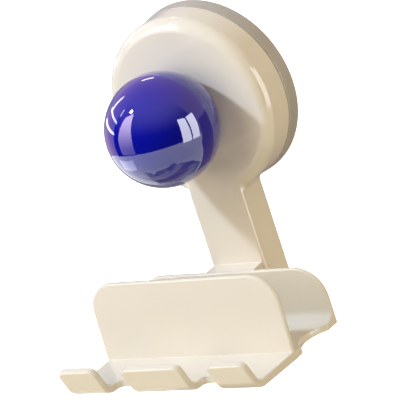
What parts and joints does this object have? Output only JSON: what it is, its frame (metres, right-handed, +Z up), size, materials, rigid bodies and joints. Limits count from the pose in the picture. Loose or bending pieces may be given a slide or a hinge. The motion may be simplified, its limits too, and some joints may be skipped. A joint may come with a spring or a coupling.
{
  "type": "suction cup wall shelf",
  "caption": "Small bathroom wall shelf: a round twist-lock suction mount with a ball knob, and an arm that carries a slotted tray with hooks along its front edge.",
  "frame": {"origin": "where the axis of the suction disc meets the wall", "axes": "+X to the right seen from the front, +Y into the wall, +Z up; the shelf stands out of the wall towards -Y"},
  "size_m": [0.0926, 0.0964, 0.1325],
  "materials": {
    "cream_abs": "cream moulded ABS, satin gloss",
    "translucent_grey_tpu": "soft translucent grey-beige TPU, smooth",
    "inner_abs": "off-white moulded ABS, as moulded",
    "zinc_plated_steel": "bright zinc plate",
    "black_nylon": "black moulded nylon",
    "white_acetal": "white acetal, smooth",
    "blue_lacquer": "deep blue metallic lacquer under a clear coat",
    "brass": "turned brass"
  },
  "bodies": {
    "shelf": {"shelf_body": "cream_abs", "suction_pad": "translucent_grey_tpu", "pressure_ring": "inner_abs", "ring_screw_1": "zinc_plated_steel", "ring_screw_2": "zinc_plated_steel", "ring_screw_3": "zinc_plated_steel", "ring_screw_4": "zinc_plated_steel", "thrust_washer": "white_acetal"},
    "stem": {"stem_collar": "black_nylon", "stem_stud": "zinc_plated_steel"},
    "knob": {"knob_rear_shell": "blue_lacquer", "knob_front_shell": "blue_lacquer", "knob_nut": "brass", "nut_retainer": "inner_abs"}
  },
  "joints": [
    {"name": "knob_turn", "type": "hinge", "parent": "shelf", "child": "knob", "pos_m": [0, 0, 0], "axis": [0, -1, 0], "range_deg": [0, 1080]},
    {"name": "stem_draw", "type": "slide", "parent": "shelf", "child": "stem", "axis": [0, 1, 0], "range_m": [0, 0.003], "deforming": ["suction_pad"]}
  ],
  "couplings": [
    {"joint": "stem_draw", "follows": "knob_turn", "m_per_rad": 0.00015915}
  ]
}
